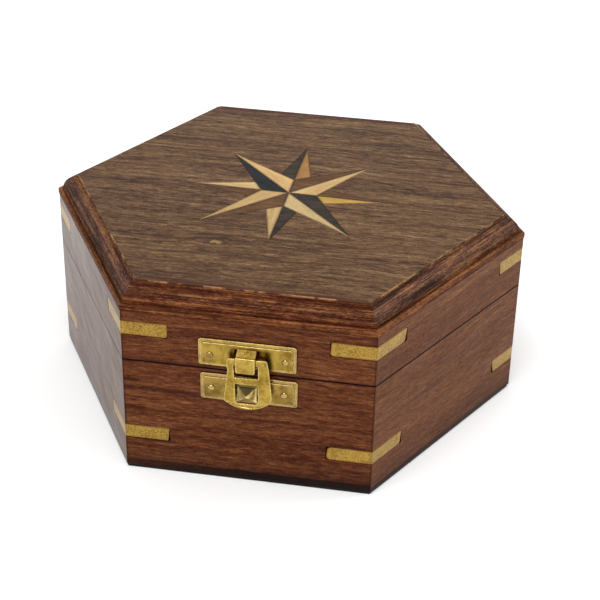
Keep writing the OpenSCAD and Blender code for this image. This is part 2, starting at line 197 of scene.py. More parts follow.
    def surface(self, colour, roughness, normal=None, coat_normal=None, **others):
        """Ends the graph in a Principled shader; the others go to the sockets they name."""
        shader = self.add("ShaderNodeBsdfPrincipled")
        self.put(shader.inputs["Base Color"], colour)
        self.put(shader.inputs["Roughness"], roughness)
        self.put(shader.inputs["Normal"], normal)
        self.put(shader.inputs["Coat Normal"], coat_normal)
        for key, value in others.items():
            self.put(shader.inputs[key.replace("_", " ")], value)
        output = self.add("ShaderNodeOutputMaterial")
        self.tree.links.new(shader.outputs["BSDF"], output.inputs["Surface"])
        return self.mat


def linear(red, green, blue):
    """An 8-bit sRGB colour as the linear values that Blender's sockets take."""
    return tuple(
        c / 12.92 if c <= 0.04045 else ((c + 0.055) / 1.055) ** 2.4
        for c in (red / 255, green / 255, blue / 255)
    )


def tinted(stops, tint, calm=0.0):
    """Colour stops multiplied by a tint, and drawn by `calm` towards the middle one."""
    middle = stops[len(stops) // 2][1]
    return [
        (at, tuple((c * (1 - calm) + m * calm) * t for c, m, t in zip(colour, middle, tint)))
        for at, colour in stops
    ]


# ---------- wood ----------

def wavy(g, x, y, z, plain, shift):
    """Position with the grain's slow sway, its ripple and its shiver."""
    sway = g.noise(plain, (11, 22, 22), shift, detail=2)
    ripple = g.noise(plain, (55, 90, 90), shift, detail=2)
    shiver = g.noise(plain, (190, 260, 260), shift, detail=2)
    drift = g.math("MULTIPLY_ADD", g.math("SUBTRACT", sway, 0.5), 9 * MM, 0.0)
    drift = g.math("MULTIPLY_ADD", g.math("SUBTRACT", ripple, 0.5), 1.9 * MM, drift)
    drift = g.math("MULTIPLY_ADD", g.math("SUBTRACT", shiver, 0.5), 0.5 * MM, drift)
    return g.join(x, g.math("ADD", y, drift), g.math("ADD", z, drift))


def grain_tone(g, grain, shift, weights):
    """Streaks from a few centimetres down to single fibres, about 0.5 on average."""
    layers = (
        g.noise(grain, (10, 150, 150), shift, detail=2, roughness=0.5),
        g.noise(grain, (30, 680, 680), shift, detail=3, roughness=0.65),
        g.noise(grain, (230, 1500, 1500), shift, detail=3, roughness=0.75),
        g.noise(grain, (1100, 3000, 3000), shift, detail=2, roughness=0.8),
    )
    tone = 0.0
    for layer, weight in zip(layers, weights):
        tone = g.math("MULTIPLY_ADD", layer, weight, tone)
    return tone


def bent_round(g, x, y, knot):
    """Distance from a pin knot (squared, 1 at its edge), and y bent round it."""
    half_length = 6.0 * MM
    half_width = 4.0 * MM
    push = 3.4 * MM
    off_x = g.math("MULTIPLY", g.math("SUBTRACT", x, knot[0] * MM), 1 / half_length)
    off_y = g.math("MULTIPLY", g.math("SUBTRACT", y, knot[1] * MM), 1 / half_width)
    far = g.math("ADD", g.math("MULTIPLY", off_x, off_x), g.math("MULTIPLY", off_y, off_y))
    near = g.math("POWER", 2.718, g.math("MULTIPLY", far, -1.0))
    pull = g.math("MULTIPLY", g.math("MULTIPLY", off_y, near), -push)
    return far, g.math("ADD", y, pull)


def knot_colour(g, colour, far, plain, shift, stops):
    """A pale ragged heart in a darker ring."""
    ragged = g.noise(plain, (420, 700, 700), shift, detail=3, roughness=0.7)
    edge = g.math("MULTIPLY_ADD", ragged, 0.55, far)
    colour = g.mix(g.spread(edge, 0.45, 0.90, 0.4, 0.0), colour, stops[0][1])
    return g.mix(g.spread(edge, 0.28, 0.42, 0.85, 0.0), colour, stops[-1][1])


def across_moulding(g, plain, height):
    """How far down the moulded edge a point is, in millimetres from the top's arris, a mask
    that is 0 on the rest of the lid, one that is 1 on the front and back sides, and one for
    the border of the flat top inside the arris on those sides."""
    x, y, _ = g.split(plain)
    slant_x = g.math("MULTIPLY", x, math.cos(math.pi / 6))
    slant_y = g.math("MULTIPLY", y, 0.5)
    straight = g.math("ABSOLUTE", y)
    one = g.math("ABSOLUTE", g.math("ADD", slant_x, slant_y))
    other = g.math("ABSOLUTE", g.math("SUBTRACT", slant_x, slant_y))
    slanted = g.math("MAXIMUM", one, other)
    out = g.math("DIVIDE", g.math("MAXIMUM", straight, slanted), MM)
    down = g.math("SUBTRACT", g.math("SUBTRACT", out, ARRIS), g.math("SUBTRACT", height, TOP_Z))
    moulding = g.spread(out, ARRIS - 1.0, ARRIS - 0.7)
    long = g.math("GREATER_THAN", straight, slanted)
    border = g.math("MULTIPLY", g.spread(down, -2.8, -1.0), g.spread(out, ARRIS - 3.2, ARRIS - 2.8))
    return down, moulding, long, g.math("MULTIPLY", border, long)


# colours down the moulded edge: millimetres from the arris, then 8-bit red, green and blue; they
# start with the square step, and end with the ledge (from 10.9) and the lip (from 12.9).
# Besides the wood's colour they hold painted light and shade: a painted shadow under the square step
# (0.9), a painted highlight line low on the long sides' ovolo (9.2) and a painted shadow line at the
# lip's foot (14); the pale step is partly worn, partly a painted highlight
LONG_SIDE_LIT = [
    (0.1, (164, 120, 80)), (0.5, (140, 94, 60)), (0.9, (67, 26, 13)), (3.5, (77, 40, 23)),
    (6, (72, 39, 25)), (8, (76, 38, 23)), (9.2, (96, 54, 34)), (10, (92, 48, 28)),
    (10.9, (98, 48, 27)), (11.6, (98, 53, 29)), (12.3, (104, 58, 33)), (12.9, (96, 51, 27)),
    (13.6, (98, 54, 28)), (14, (80, 40, 20)),
]
END_GRAIN_LIT = [
    (0.1, (156, 118, 76)), (0.5, (152, 110, 68)), (0.9, (62, 36, 27)), (3.5, (82, 54, 43)),
    (7, (66, 45, 38)), (9.8, (76, 48, 34)), (10.9, (80, 44, 26)), (11.5, (112, 68, 37)),
    (12.3, (112, 70, 42)), (12.8, (88, 46, 27)), (13.5, (106, 60, 36)), (14, (44, 13, 6)),
]


def moulded(g, colour, plain, height):
    """The moulded edge: streaked along its length, darker, its arrises pale, partly worn and partly
    a painted highlight, with painted light and shade down its profile.
    """
    down, moulding, long, border = across_moulding(g, plain, height)
    x, y, _ = g.split(plain)
    lengthways = g.join(x, y, g.math("MULTIPLY", down, MM))
    run = g.noise(lengthways, (26, 26, 1000), (7, 3, 1), detail=4, roughness=0.75)
    fine = g.noise(lengthways, (600, 600, 3200), (2, 5, 8), detail=3, roughness=0.8)
    patch = g.noise(lengthways, (90, 90, 300), (1, 9, 4), detail=3, roughness=0.6)
    share = g.math("DIVIDE", down, MOULDING_RUN)
    long_side_lit = g.ramp(share, [(at / MOULDING_RUN, linear(*rgb)) for at, rgb in LONG_SIDE_LIT])
    end_grain_lit = g.ramp(share, [(at / MOULDING_RUN, linear(*rgb)) for at, rgb in END_GRAIN_LIT])
    edge = g.mix(long, end_grain_lit, long_side_lit)
    tone = g.math("MULTIPLY_ADD", fine, 0.38, g.math("MULTIPLY", run, 0.42))
    tone = g.math("MULTIPLY_ADD", patch, 0.20, tone)
    # streaks brighter and tan along its length: partly the grain, partly painted streaks of
    # highlight
    edge = g.brighter(edge, g.spread(tone, 0.41, 0.60, 0.30, 1.75))
    edge = g.mix(g.spread(tone, 0.51, 0.61, 0.0, 0.55), edge, linear(162, 112, 66))
    worn = g.noise(plain, (170, 170, 170), (6, 2, 9), detail=2)
    at_arris = g.spread(down, 0.4, 0.8, 1.0, 0.0)
    unworn = g.math("MULTIPLY", at_arris, g.spread(worn, 0.46, 0.55, 0.9, 0.0))
    edge = g.mix(unworn, edge, linear(64, 36, 22))
    on_edge = g.math("MULTIPLY", g.spread(down, -0.35, 0.0), moulding)
    # darker along the border of the flat top just inside the front and back arrises
    border_darkening = g.math("MULTIPLY", border, g.spread(patch, 0.3, 0.6, 0.55, 1.0))
    colour = g.mix(border_darkening, colour, linear(66, 32, 17))
    return g.mix(on_edge, colour, edge), tone, on_edge


def darker_foot(g, colour, x, height, plain, tall, at_left, onward):
    """The dark band at a wall's foot, and the wall darker towards its foot: the band's height in
    millimetres, and how strong it is at the wall's left end and from its middle on."""
    ragged = g.noise(plain, (140, 140, 500), (3, 1, 6), detail=3)
    top = g.math("MULTIPLY_ADD", ragged, 0.9, FELT_Z + tall - 0.45)
    band = g.spread(g.math("SUBTRACT", height, top), -0.25, 0.25, 1.0, 0.0)
    share = g.spread(x, -38 * MM, 0.0, at_left, onward)
    soft = g.spread(height, FELT_Z + tall, FELT_Z + tall + 9, 0.36, 0.0)
    colour = g.mix(soft, colour, linear(36, 14, 10))
    return g.mix(g.math("MULTIPLY", band, share), colour, linear(17, 8, 8))


def heart_lines(g, colour, grain, plain, seed, stops):
    """Dark heartwood lines, here and there."""
    lines = g.noise(grain, (9, 420, 420), (seed, 4.1, seed * 0.3), detail=3, roughness=0.6)
    where = g.noise(plain, (16, 70, 70), (4.2, seed, 1.0), detail=1)
    dark = g.math("MULTIPLY", g.spread(lines, 0.56, 0.66), g.spread(where, 0.42, 0.62, 0.15, 0.7))
    return g.mix(dark, colour, stops[0][1])


def open_pores(g, colour, grain, tone, shift, stops):
    """Short dark dashes along the grain; the colour, and 1 in each pore."""
    dashes = g.cells(grain, (330, 2300, 2300), shift)
    pore = g.math("MULTIPLY", g.spread(dashes, 0.16, 0.40, 1.0, 0.0), g.spread(tone, 0.54, 0.46))
    darkest = tuple(0.4 * c for c in stops[0][1])
    return g.mix(g.math("MULTIPLY", pore, 0.7), colour, darkest), pore


def darkened_wall(g, colour, x, height, plain, stops, joints, foot):
    """A wall darker towards its ends, with painted shade along each joint, and darker towards its
    foot.
    """
    from_middle = g.math("ABSOLUTE", x)
    # darker towards the wall's two ends
    corner = g.spread(from_middle, (HALF_WALL - 0.8) * MM, (HALF_WALL - 0.1) * MM, 0.0, 0.75)
    colour = g.mix(corner, colour, stops[0][1])
    # painted shade along the seam between lid and base, and under the lid's lip
    for joint, darkness in joints:
        apart = g.math("ABSOLUTE", g.math("SUBTRACT", height, joint))
        colour = g.mix(g.spread(apart, 0.22, 0.50, darkness, 0.0), colour, linear(34, 10, 6))
    return darker_foot(g, colour, x, height, plain, *foot)


def wood(name, turn, seed, stops, coat, weights, knot=None, moulding=False, joints=(), foot=None):
    """Rosewood with its grain along X turned by `turn` degrees.

    stops: colours from the darkest streaks to the lightest.
    coat: weight of the polish.
    weights: how much the broad, middle, fine and finest streaks count.
    knot: (x, y) of a small pin knot that the grain runs round, in millimetres.
    moulding: whether the piece has the lid's moulded edge.
    joints: for each joint of a wall, the seam and the lip's underside, its height in millimetres and
    how strong the painted shade along it is.
    foot: height and strengths of the dark band along a wall's foot.
    """
    g = Graph(name)
    plain = g.place(turn)
    x, y, z = g.split(plain)
    height = g.math("DIVIDE", z, MM)
    shift = (seed * 1.37, seed * 2.11, seed * 0.73)
    if knot:
        far, y = bent_round(g, x, y, knot)
    grain = wavy(g, x, y, z, plain, shift)
    tone = grain_tone(g, grain, shift, weights)
    colour = heart_lines(g, g.ramp(tone, stops), grain, plain, seed, stops)
    colour, pore = open_pores(g, colour, grain, tone, shift, stops)
    if knot:
        colour = knot_colour(g, colour, far, plain, shift, stops)
    if moulding:
        colour, run, on_edge = moulded(g, colour, plain, height)
        coat_normal = g.bump(g.math("MULTIPLY", run, on_edge), 0.9 * MM)
        coat = g.math("MULTIPLY_ADD", on_edge, 0.25 - coat, coat)
    else:
        coat_normal = g.bump(g.noise(plain, (42, 42, 70), shift, detail=2), 0.8 * MM)
    if joints:
        colour = darkened_wall(g, colour, x, height, plain, stops, joints, foot)
    # painted shade: darker in narrow recesses, such as beside the catch plates, in the strap's slots
    # and under the lip, less so on the moulding
    recess_shade = g.spread(g.recess(1.6 * MM), 0.25, 0.80, 0.5 if moulding else 0.85, 0.0)
    colour = g.mix(recess_shade, colour, linear(22, 9, 5))
    relief = g.math("MULTIPLY_ADD", pore, -1.0, g.math("MULTIPLY", tone, 1.2))
    worn = g.noise(plain, (60, 200, 200), shift, detail=3)
    roughness = g.math("MULTIPLY_ADD", worn, 0.14, 0.40)
    return g.surface(colour, roughness, g.bump(relief, 0.05 * MM), coat_normal,
                     Specular_IOR_Level=0.0, Coat_Weight=coat, Coat_Roughness=0.18, Coat_IOR=1.25)


# the wood's colours, from the darkest streaks to the lightest
WALL_STOPS = [
    (0.38, linear(44, 12, 5)),
    (0.44, linear(70, 29, 9)),
    (0.50, linear(93, 49, 24)),
    (0.56, linear(114, 68, 38)),
    (0.63, linear(144, 98, 58)),
]
TOP_STOPS = [
    (0.38, linear(36, 16, 9)),
    (0.44, linear(62, 38, 20)),
    (0.50, linear(87, 61, 39)),
    (0.56, linear(109, 82, 54)),
    (0.63, linear(146, 116, 76)),
]
# how much the broad, middle, fine and finest streaks count
EVEN = (0.16, 0.27, 0.38, 0.19)
FINE = (0.14, 0.20, 0.36, 0.30)
# walls in order round from the front: the tint of each board, its calmness, streaks, polish,
# how much painted shade darkens each joint, and the dark band at its foot
# the tints are partly each board's own tone and partly painted reflection: the grey-green front_left
# tint and the pale, grey front_right tint paint the sheen those walls reflect
WALLS = {
    "front": ((0.94, 0.9, 0.86), 0.1, EVEN, 0.5, 0.9, (2.5, 0.5, 0.92)),
    "front_right": ((1.16, 1.36, 1.5), 0.45, FINE, 0.5, 0.9, (1.5, 0.75, 0.65)),
    "back_right": ((1.1, 1.2, 1.2), 0.2, EVEN, 0.6, 0.8, (1.2, 0.6, 0.4)),
    "back": ((1.0, 1.05, 1.1), 0.1, EVEN, 0.6, 0.8, (1.6, 0.5, 0.7)),
    "back_left": ((1.1, 1.15, 1.2), 0.2, EVEN, 0.7, 0.8, (1.2, 0.5, 0.4)),
    "front_left": ((0.82, 1.02, 0.9), 0.3, FINE, 0.82, 0.4, (0.8, 0.4, 0.5)),
}


def dress(node, material):
    """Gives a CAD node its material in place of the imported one."""
    slots = NODES[node].data.materials
    slots.clear()
    slots.append(material)


def soften(piece, width, segments=2, angle=28):
    """Rounds sharp edges by a modifier, as sanding or pressing does."""
    bevel = piece.modifiers.new("softened", "BEVEL")
    bevel.width = width * MM
    bevel.segments = segments
    bevel.limit_method = "ANGLE"
    bevel.angle_limit = math.radians(angle)


def dress_walls():
    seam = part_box("base_front_wall")[1].z / MM
    under_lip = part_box("lid_front_wall")[1].z / MM
    for number, (place, (tint, calm, weights, coat, seam_shade, foot)) in enumerate(WALLS.items()):
        stops = tinted(WALL_STOPS, tint, calm)
        material = wood(f"rosewood_{place}", 60 * number, 3 + 2.7 * number, stops, coat, weights,
                        joints=((seam + 0.15, seam_shade), (under_lip, 0.5 * seam_shade)), foot=foot)
        for level in ("base", "lid"):
            dress(f"{level}_{place}_wall", material)
            soften(NODES[f"{level}_{place}_wall"], 0.12)


def dress_top():
    top = wood("rosewood_top", 0, 41.0, TOP_STOPS, 0.8, EVEN, knot=(-16.9, -36.2), moulding=True)
    dress("lid_top", top)
    soften(NODES["lid_top"], 0.18, angle=40)


# ---------- inlay woods ----------

def inlay(name, turn, seed, dark, light):
    """Fine straight-grained wood for a piece of the star, with a dark line of painted shade round
    its edges.
    """
    g = Graph(name)
    along = g.place(turn)
    shift = (seed, seed * 0.7, seed * 1.9)
    lines = g.noise(along, (170, 1700, 400), shift, detail=4, roughness=0.7)
    speck = g.noise(along, (1100, 3200, 1000), shift, detail=3, roughness=0.8)
    soft = g.noise(along, (60, 260, 100), shift, detail=2)
    tone = g.math("MULTIPLY_ADD", lines, 0.4, g.math("MULTIPLY", soft, 0.3))
    tone = g.math("MULTIPLY_ADD", speck, 0.3, tone)
    colour = g.ramp(tone, [(0.40, dark), (0.60, light)])
    # painted shade along the piece's edges
    colour = g.mix(g.math("MULTIPLY", g.edge(1.3 * MM), 0.85), colour, linear(30, 15, 8))
    normal = g.bump(lines, 0.03 * MM)
    return g.surface(colour, 0.42, normal, Specular_IOR_Level=0.0, Coat_Weight=0.8,
                     Coat_Roughness=0.16, Coat_IOR=1.25)


# the star's points, anticlockwise: the wood of each one's dark half, and the darkest and the
# lightest colour of its light half
POINTS = {
    "east": ("brown", linear(150, 116, 50), linear(186, 150, 74)),
    "northeast": ("brown", linear(166, 134, 86), linear(200, 168, 117)),
    "north": ("black", linear(130, 92, 46), linear(156, 114, 64)),
    "northwest": ("ebony", linear(168, 134, 84), linear(204, 168, 114)),
    "west": ("brown", linear(164, 135, 87), linear(200, 169, 117)),
    "southwest": ("brown", linear(148, 120, 74), linear(184, 152, 102)),
    "south": ("black", linear(150, 122, 76), linear(188, 157, 108)),
    "southeast": ("black", linear(150, 126, 82), linear(190, 163, 117)),
}


def dress_star():
    dark_woods = {
        "black": inlay("inlay_black", 12, 5.0, linear(12, 8, 5), linear(62, 50, 38)),
        # the ebony's blue-grey tint is partly a painted reflection that its polish shows
        "ebony": inlay("inlay_ebony", -20, 7.0, linear(4, 6, 7), linear(30, 36, 38)),
        "brown": inlay("inlay_brown", 3, 9.0, linear(64, 38, 16), linear(104, 72, 40)),
    }
    for number, (point, (dark_wood, darkest, lightest)) in enumerate(POINTS.items()):
        pale = inlay(f"inlay_light_{point}", 45 * number, 2.0 + number, darkest, lightest)
        dress(f"star_{point}_light", pale)
        dress(f"star_{point}_dark", dark_woods[dark_wood])
        for half in ("light", "dark"):
            soften(NODES[f"star_{point}_{half}"], 0.05, 1)


# ---------- brass ----------

def shaded_faces(g, colour, amount):
    """Painted shade on the faces that look up, and less on those that look to the left."""
    right, _, up = g.split(g.add("ShaderNodeTexCoord").outputs["Normal"])
    colour = g.mix(g.spread(up, 0.15, 0.55, 0.0, amount), colour, linear(44, 31, 14))
    return g.mix(g.spread(right, -0.55, -0.15, 0.3 * amount, 0.0), colour, linear(70, 54, 26))


def brass(name, seed, dull, bright, rough, grain=900, scratch=0.5, tarnish=0.8, lacquer=0.0,
          clouds=0.7, shaded=0.8, shade_tone=linear(40, 28, 10), rim=None, facet_shade=0.0):
    """Brass with uneven tone, fine scratches, tarnish in its corners, painted shade in its wide
    hollows and pale edges, partly worn by rubbing and partly a painted highlight.

    dull, bright: its two tones; `clouds` is the share of broad patches against fine specks.
    grain: fine specks per metre; scratch: how deep the scratches are.
    tarnish: in narrow corners; shaded: painted shade in wide ones, of the colour `shade_tone`.
    lacquer: weight of the clear coat; rim: an edge colour in place of the pale, worn and highlit
    one.
    facet_shade: painted shade on faces that look up, and less on those that look to the left.
    """
    g = Graph(name)
    place = g.place()
    shift = (seed, seed * 1.3, seed * 0.4)
    cloud = g.noise(place, (190, 190, 190), shift, detail=3, roughness=0.6)
    speck = g.noise(place, (grain, grain, grain), shift, detail=4, roughness=0.7)
    tone = g.math("MULTIPLY_ADD", cloud, clouds, g.math("MULTIPLY", speck, 1 - clouds))
    colour = g.ramp(tone, [(0.40, dull), (0.58, bright)])
    # pale edges: partly worn by rubbing, partly a painted highlight where the edges catch the light
    edge_rub_and_glint = g.math("MULTIPLY", g.edge(0.9 * MM), g.spread(speck, 0.35, 0.6, 0.5, 1.0))
    colour = g.mix(edge_rub_and_glint, colour, rim or tuple(min(0.92, 1.5 * c + 0.13) for c in bright))
    corner = g.spread(g.recess(0.7 * MM), 0.50, 0.96, tarnish, 0.0)
    colour = g.mix(corner, colour, linear(48, 32, 10))
    # painted shade in wide hollows, such as under the hasp and round the strap
    shade = g.spread(g.recess(4.0 * MM), 0.15, 0.60, shaded, 0.0)
    colour = g.mix(shade, colour, shade_tone)
    # painted shade on the upward and leftward faces
    if facet_shade:
        colour = shaded_faces(g, colour, facet_shade)
    lines = g.noise(g.place(24), (240, 6500, 6500), shift, detail=2)
    relief = g.math("MULTIPLY_ADD", lines, scratch, speck)
    normal = g.bump(relief, 0.03 * MM)
    roughness = g.math("MULTIPLY_ADD", speck, 0.22, rough - 0.11)
    return g.surface(colour, roughness, normal, Metallic=1.0, Coat_Weight=lacquer,
                     Coat_IOR=1.4, Coat_Roughness=0.2)


# ---------- piece builders ----------

def put_in(name, mesh, body, slot, material, *replaced):
    """Makes a piece of a finished mesh, rides it on its body and lets it stand for CAD nodes."""
    piece = bpy.data.objects.new(name, mesh)
    bpy.context.scene.collection.objects.link(piece)
    mesh.materials.clear()
    mesh.materials.append(material)
    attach(piece, body)
    if replaced:
        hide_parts(*replaced)
    return piece


def finish_mesh(bm, name, sharp=35):
    """Turns a bmesh into a mesh with smooth faces and crisp edges."""
    bmesh.ops.recalc_face_normals(bm, faces=bm.faces)
    mesh = bpy.data.meshes.new(name)
    bm.to_mesh(mesh)
    bm.free()
    mesh.shade_smooth()
    mesh.set_sharp_from_angle(angle=math.radians(sharp))
    return mesh


def front(x, out, z):
    """Point on or before the front wall, from millimetres: along it, out of it and up."""
    return Vector((x, -(WALL_OUT + out), z)) * MM


def arc_points(centre, radius, start, end, steps):
    """Points along an arc, its ends in degrees."""
    return [
        (centre[0] + radius * math.cos(math.radians(start + (end - start) * i / steps)),
         centre[1] + radius * math.sin(math.radians(start + (end - start) * i / steps)))
        for i in range(steps + 1)
    ]


def rounded(points, radii, steps=6):
    """A closed outline with each corner rounded to its radius."""
    out = []
    count = len(points)
    for i, (point, radius) in enumerate(zip(points, radii)):
        here = Vector(point)
        if radius <= 0:
            out.append(tuple(here))
            continue
        back = (Vector(points[i - 1]) - here).normalized()
        ahead = (Vector(points[(i + 1) % count]) - here).normalized()
        half = back.angle(ahead) / 2
        reach = radius / math.tan(half)
        middle = here + (back + ahead).normalized() * (radius / math.sin(half))
        first = here + back * reach - middle
        second = here + ahead * reach - middle
        turn = first.angle_signed(second)
        for step in range(steps + 1):
            angle = -turn * step / steps
            out.append((
                middle.x + first.x * math.cos(angle) - first.y * math.sin(angle),
                middle.y + first.x * math.sin(angle) + first.y * math.cos(angle),
            ))
    return out


def flat_curve(name, outlines, thickness, edge):
    """A filled curve with rounded edges; its first outline is the rim, the others are holes."""
    curve = bpy.data.curves.new(name, "CURVE")
    curve.dimensions = "2D"
    curve.fill_mode = "BOTH"
    curve.extrude = thickness / 2 - edge
    curve.bevel_depth = edge
    curve.bevel_resolution = 3
    curve.offset = -edge
    for outline in outlines:
        spline = curve.splines.new("POLY")
        spline.points.add(len(outline) - 1)
        for point, (x, z) in zip(spline.points, outline):
            point.co = (x, z, 0, 1)
        spline.use_cyclic_u = True
    return curve


def mesh_from(curve):
    """Turns a curve into a mesh."""
    holder = bpy.data.objects.new(curve.name, curve)
    bpy.context.scene.collection.objects.link(holder)
    bpy.context.view_layer.update()
    depsgraph = bpy.context.evaluated_depsgraph_get()
    mesh = bpy.data.meshes.new_from_object(holder.evaluated_get(depsgraph))
    bpy.data.objects.remove(holder)
    bpy.data.curves.remove(curve)
    return mesh


def sheet_mesh(name, outlines, back, face, edge, matrix=None):
    """A flat sheet before the front wall, from `back` to `face` millimetres out of it, with
    rounded edges. Its outlines are in millimetres, x along the wall and z up."""
    mesh = mesh_from(flat_curve(name, outlines, face - back, edge))
    middle = (back + face) / 2
    stand = Matrix((
        (MM, 0, 0, 0),
        (0, 0, -MM, -(WALL_OUT + middle) * MM),
        (0, MM, 0, 0),
        (0, 0, 0, 1),
    ))
    mesh.transform(stand @ matrix if matrix else stand)
    bm = bmesh.new()
    bm.from_mesh(mesh)
    bmesh.ops.remove_doubles(bm, verts=bm.verts, dist=0.002 * MM)
    bpy.data.meshes.remove(mesh)
    return finish_mesh(bm, name, 60)


def joined(name, meshes):
    """One mesh of several closed shells."""
    bm = bmesh.new()
    for mesh in meshes:
        bm.from_mesh(mesh)
        bpy.data.meshes.remove(mesh)
    mesh = bpy.data.meshes.new(name)
    bm.to_mesh(mesh)
    bm.free()
    return mesh


def block(x0, x1, z0, z1):
    """The corners of a rectangle."""
    return [(x0, z0), (x1, z0), (x1, z1), (x0, z1)]


def skin(bm, rings):
    """Faces between rings of vertices, with a cap on each end."""
    count = len(rings[0])
    for ring, following in zip(rings, rings[1:]):
        for i in range(count):
            j = (i + 1) % count
            bm.faces.new((ring[i], ring[j], following[j], following[i]))
    bm.faces.new(rings[0])
    bm.faces.new(rings[-1])


# ---------- the catch ----------

def plate_mesh(name, node, windows=()):
    """A pressed plate in place of a CAD node: its rim, and the raised panel on it. Windows go
    through both."""
    low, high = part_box(node)
    x0, x1 = low.x / MM, high.x / MM
    z0, z1 = low.z / MM, high.z / MM
    rim = rounded(block(x0, x1, z0, z1), [0.8] * 4)
    panel = rounded(block(x0 + 1.0, x1 - 1.0, z0 + 0.85, z1 - 1.15), [0.6] * 4)
    return joined(name, [
        sheet_mesh(name + "_rim", [rim, *windows], 0.0, 0.6, 0.2),
        sheet_mesh(name + "_panel", [panel, *windows], 0.2, 1.0, 0.24),
    ])


def swept_mesh(name, path, thickness, edge):
    """A band bent along a path of (out, z, half width), with rounded long edges."""
    bm = bmesh.new()
    rings = []
    for i, (out, z, half) in enumerate(path):
        before = path[max(i - 1, 0)]
        after = path[min(i + 1, len(path) - 1)]
        run = Vector((after[0] - before[0], after[1] - before[1])).normalized()
        inward = Vector((run.y, -run.x))
        ring = []
        for side in (1, -1):
            steps = arc_points((half - edge, edge), edge, -90, 0, 4)
            steps += arc_points((half - edge, thickness - edge), edge, 0, 90, 4)
            if side < 0:
                steps = [(-x, d) for x, d in reversed(steps)]
            ring += steps
        rings.append([
            bm.verts.new(front(x, out + inward.x * depth, z + inward.y * depth)) for x, depth in ring
        ])
    skin(bm, rings)
    return finish_mesh(bm, name, 60)


def strap_path():
    """Where the strap runs: out of the plate, over its fold, down, narrowing, and back in.
    Each point is (out, z, half width)."""
    wide = 3.1
    narrow = 2.45
    face = 4.45         # how far its front face is out
    foot = 44.6         # the height at which it turns back in
    path = [(0.2, 51.62, wide), (0.62, 51.52, wide), (0.95, 51.38, wide), (1.3, 51.24, wide)]
    path += [(1.3 + 0.27 * i, 51.24 - 0.117 * i, wide) for i in range(1, 10)]
    path += [(out, z, wide) for out, z in arc_points((3.92, 49.62), 0.53, 66, 0, 6)]
    path += [(face, z, wide) for z in (49.0, 48.0, 47.0, 46.2, 45.6)]
    path += [(face, 45.3, 3.08), (face, 45.08, 2.98), (4.43, 44.9, 2.84), (4.38, 44.75, 2.62)]
    path += [(4.28, 44.65, 2.5)]
    path += [(out, foot, narrow) for out in (4.1, 3.5, 2.0, 0.4)]
    return path


def make_lid_plate(material, raised_brass):
    slot = rounded(block(-3.9, 3.9, 45.3, 51.1), [0.25] * 4, 3)
    plate = plate_mesh("lid_plate", "catch_lid_plate", [slot])
    put_in("lid_plate", plate, "lid", "catch_brass", material, "catch_lid_plate")
    put_in("lid_strap", swept_mesh("strap", strap_path(), 0.6, 0.22), "lid", "catch_brass", raised_brass)


def boss_mesh():
    """The faceted boss: a square foot, four slightly hollow faces and a point."""
    middle_z = 35.0
    squat = 3.0 / 3.1       # its height against its width
    bm = bmesh.new()
    rings = []
    for half, out in ((3.1, 0.5), (3.1, 1.1), (3.0, 1.22), (2.1, 1.72), (1.1, 2.3), (0.12, 2.94)):
        tall = half * squat
        outline = block(-half, half, middle_z - tall, middle_z + tall)
        rings.append([bm.verts.new(front(x, out, z)) for x, z in outline])
    skin(bm, rings)
    bmesh.ops.bevel(bm, geom=[e for e in bm.edges if e.calc_length() > 0.2 * MM], offset=0.09 * MM,
                    segments=2, affect="EDGES")
    return finish_mesh(bm, "boss", 30)


def make_base_plate(material, raised_brass):
    plate = plate_mesh("base_plate", "catch_base_plate")
    put_in("base_plate", plate, "base", "catch_brass", material, "catch_base_plate")
    put_in("base_boss", boss_mesh(), "base", "catch_brass", raised_brass)


def bar_mesh(x0, x1, out, z, radius):
    """A round bar along the front, with softened ends."""
    bm = bmesh.new()
    rings = []
    soft = 0.15
    for x, r in ((x0, radius - soft), (x0 + soft, radius), (x1 - soft, radius), (x1, radius - soft)):
        circle = arc_points((out, z), r, 0, 360, 32)[:-1]
        rings.append([bm.verts.new(front(x, *spot)) for spot in circle])
    skin(bm, rings)
    return finish_mesh(bm, "bar")


HASP_ROUND = (-0.4, -6.2)       # centre of the hasp's rounded end, in mm from its pivot


def hasp_outlines():
    """The hasp's rim, window and slot, from its pivot: x across, z up."""
    corners = [
        (6.1, 1.35), (-5.9, 1.35), (-6.5, 0.65), (-6.5, -1.8), (-6.2, -2.7), (-7.7, -13.2),
        *arc_points(HASP_ROUND, 11.0, 228, 314, 22),
        (7.5, -13.0), (7.5, -11.2), (6.9, -2.7), (6.4, 0.85),
    ]
    radii = [0.35, 0.5, 0.5, 0.8, 1.2, 0.4] + [0.0] * 23 + [0.3, 1.0, 2.0, 0.4]
    window = rounded(block(-4.0, 3.2, -15.2, -7.9), [1.6, 1.6, 0.3, 0.3])
    slot = rounded(block(-4.15, 3.35, -5.5, -0.9), [0.3] * 4, 3)
    return [rounded(corners, radii), window, slot]


def bead_mesh(name, points, out, radius, hang):
    """A half-sunk round bead along points (x, z) on the hasp, thinning at its ends."""
    bm = bmesh.new()
    rings = []
    for i, (x, z) in enumerate(points):
        before = Vector(points[max(i - 1, 0)])
        after = Vector(points[min(i + 1, len(points) - 1)])
        side = (after - before).normalized().orthogonal()
        share = min(1.0, 0.25 + 0.25 * min(i, len(points) - 1 - i))
        ring = []
        for step in range(10):
            angle = step * math.pi / 5
            spot = Vector((x, z)) + side * (radius * share * math.cos(angle))
            hung = hang @ Vector((spot.x, spot.y, 0))
            ring.append(bm.verts.new(front(hung.x, out + radius * share * math.sin(angle), hung.y)))
        rings.append(ring)
    skin(bm, rings)
    return finish_mesh(bm, name, 60)


